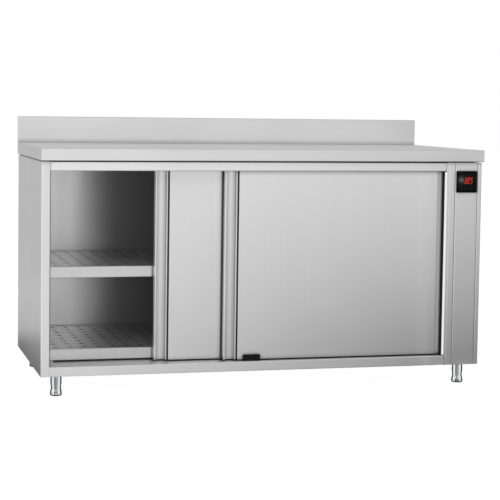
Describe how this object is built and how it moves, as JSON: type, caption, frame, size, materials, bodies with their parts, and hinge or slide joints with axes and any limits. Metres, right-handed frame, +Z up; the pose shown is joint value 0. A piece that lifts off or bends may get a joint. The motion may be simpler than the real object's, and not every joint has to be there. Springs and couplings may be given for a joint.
{
  "type": "heated plate cabinet",
  "caption": "Free-standing heated cabinet for plates, with a worktop and upstand, two sliding doors, perforated shelves, a control column and adjustable feet.",
  "frame": {"origin": "on the floor, under the middle of the worktop", "axes": "+X to the right seen from the front, +Y to the back, +Z up; the doors face -Y"},
  "size_m": [1.6, 0.7, 0.95],
  "materials": {
    "satin_steel": "satin",
    "polished_steel": "polished",
    "zinc_plated": "satin",
    "track_aluminium": "satin",
    "black_plastic": "matte",
    "gloss_black": "gloss",
    "white_plastic": "matte",
    "nylon": "satin",
    "rubber": "matte",
    "board": "matte",
    "mineral_wool": "matte",
    "motor_paint": "satin",
    "element_sheath": "matte"
  },
  "bodies": {
    "cabinet": {"worktop": "satin_steel", "worktop_channels": "satin_steel", "roof_panel": "satin_steel", "top_rail": "satin_steel", "bottom_rail": "satin_steel", "side_panel_left": "satin_steel", "side_panel_right": "satin_steel", "back_panel": "satin_steel", "service_cover": "satin_steel", "base_panel": "satin_steel", "floor_pan": "satin_steel", "left_lining": "satin_steel", "back_lining": "satin_steel", "ceiling_lining": "satin_steel", "partition_wall": "satin_steel", "column_post": "satin_steel", "control_panel": "satin_steel", "shelf_uprights": "satin_steel", "shelf_clips": "satin_steel", "service_screws": "zinc_plated", "air_box": "zinc_plated", "temperature_probe": "zinc_plated", "leg_tubes": "polished_steel", "worktop_board": "board", "insulation": "mineral_wool", "controller_body": "black_plastic", "controller_fascia": "gloss_black", "top_track": "track_aluminium", "jamb_seals": "rubber", "guide_block": "black_plastic", "cable_gland": "black_plastic", "fan_motor": "motor_paint", "heater_element": "element_sheath", "terminal_block": "white_plastic"},
    "front_door": {"front_door_skin": "satin_steel", "front_door_grip": "satin_steel", "front_door_liner": "satin_steel", "front_door_core": "mineral_wool", "front_door_hangers": "zinc_plated"},
    "front_roller_left": {"front_door_roller_left": "nylon"},
    "front_roller_right": {"front_door_roller_right": "nylon"},
    "rear_door": {"rear_door_skin": "satin_steel", "rear_door_grip": "satin_steel", "rear_door_liner": "satin_steel", "rear_door_core": "mineral_wool", "rear_door_hangers": "zinc_plated"},
    "rear_roller_left": {"rear_door_roller_left": "nylon"},
    "rear_roller_right": {"rear_door_roller_right": "nylon"},
    "middle_shelf": {"middle_shelf": "satin_steel"},
    "lower_shelf": {"lower_shelf": "satin_steel"},
    "fan": {"fan_impeller": "track_aluminium"},
    "foot_front_left": {"foot_front_left": "polished_steel", "sole_front_left": "black_plastic"},
    "foot_front_right": {"foot_front_right": "polished_steel", "sole_front_right": "black_plastic"},
    "foot_back_left": {"foot_back_left": "polished_steel", "sole_back_left": "black_plastic"},
    "foot_back_right": {"foot_back_right": "polished_steel", "sole_back_right": "black_plastic"}
  },
  "joints": [
    {"name": "front_door_slide", "type": "slide", "parent": "cabinet", "child": "front_door", "axis": [1, 0, 0], "range_m": [-0.609, 0]},
    {"name": "front_roller_left_spin", "type": "hinge", "parent": "front_door", "child": "front_roller_left", "pos_m": [-0.0625, -0.307, 0.7935], "axis": [0, 1, 0], "range_deg": [-3879, 2]},
    {"name": "front_roller_right_spin", "type": "hinge", "parent": "front_door", "child": "front_roller_right", "pos_m": [0.5685, -0.307, 0.7935], "axis": [0, 1, 0], "range_deg": [-3879, 2]},
    {"name": "rear_door_slide", "type": "slide", "parent": "cabinet", "child": "rear_door", "axis": [1, 0, 0], "range_m": [-0.368, 0.241]},
    {"name": "rear_roller_left_spin", "type": "hinge", "parent": "rear_door", "child": "rear_roller_left", "pos_m": [-0.3035, -0.273, 0.7935], "axis": [0, 1, 0], "range_deg": [-2344.8, 1536.3]},
    {"name": "rear_roller_right_spin", "type": "hinge", "parent": "rear_door", "child": "rear_roller_right", "pos_m": [0.3275, -0.273, 0.7935], "axis": [0, 1, 0], "range_deg": [-2344.8, 1536.3]},
    {"name": "middle_shelf_lift", "type": "slide", "parent": "cabinet", "child": "middle_shelf", "axis": [0, 0, 1], "range_m": [0, 0.25]},
    {"name": "lower_shelf_lift", "type": "slide", "parent": "cabinet", "child": "lower_shelf", "axis": [0, 0, 1], "range_m": [0, 0.215]},
    {"name": "fan_spin", "type": "hinge", "parent": "cabinet", "child": "fan", "pos_m": [0.706, 0.1, 0.43], "axis": [1, 0, 0], "continuous": true},
    {"name": "foot_front_left_height", "type": "slide", "parent": "cabinet", "child": "foot_front_left", "axis": [0, 0, 1], "range_m": [-0.018, 0.01]},
    {"name": "foot_front_right_height", "type": "slide", "parent": "cabinet", "child": "foot_front_right", "axis": [0, 0, 1], "range_m": [-0.018, 0.01]},
    {"name": "foot_back_left_height", "type": "slide", "parent": "cabinet", "child": "foot_back_left", "axis": [0, 0, 1], "range_m": [-0.018, 0.01]},
    {"name": "foot_back_right_height", "type": "slide", "parent": "cabinet", "child": "foot_back_right", "axis": [0, 0, 1], "range_m": [-0.018, 0.01]}
  ],
  "couplings": [
    {"joint": "front_roller_left_spin", "follows": "front_door_slide", "rad_per_m": 111.11},
    {"joint": "front_roller_right_spin", "follows": "front_door_slide", "rad_per_m": 111.11},
    {"joint": "rear_roller_left_spin", "follows": "rear_door_slide", "rad_per_m": 111.11},
    {"joint": "rear_roller_right_spin", "follows": "rear_door_slide", "rad_per_m": 111.11}
  ]
}
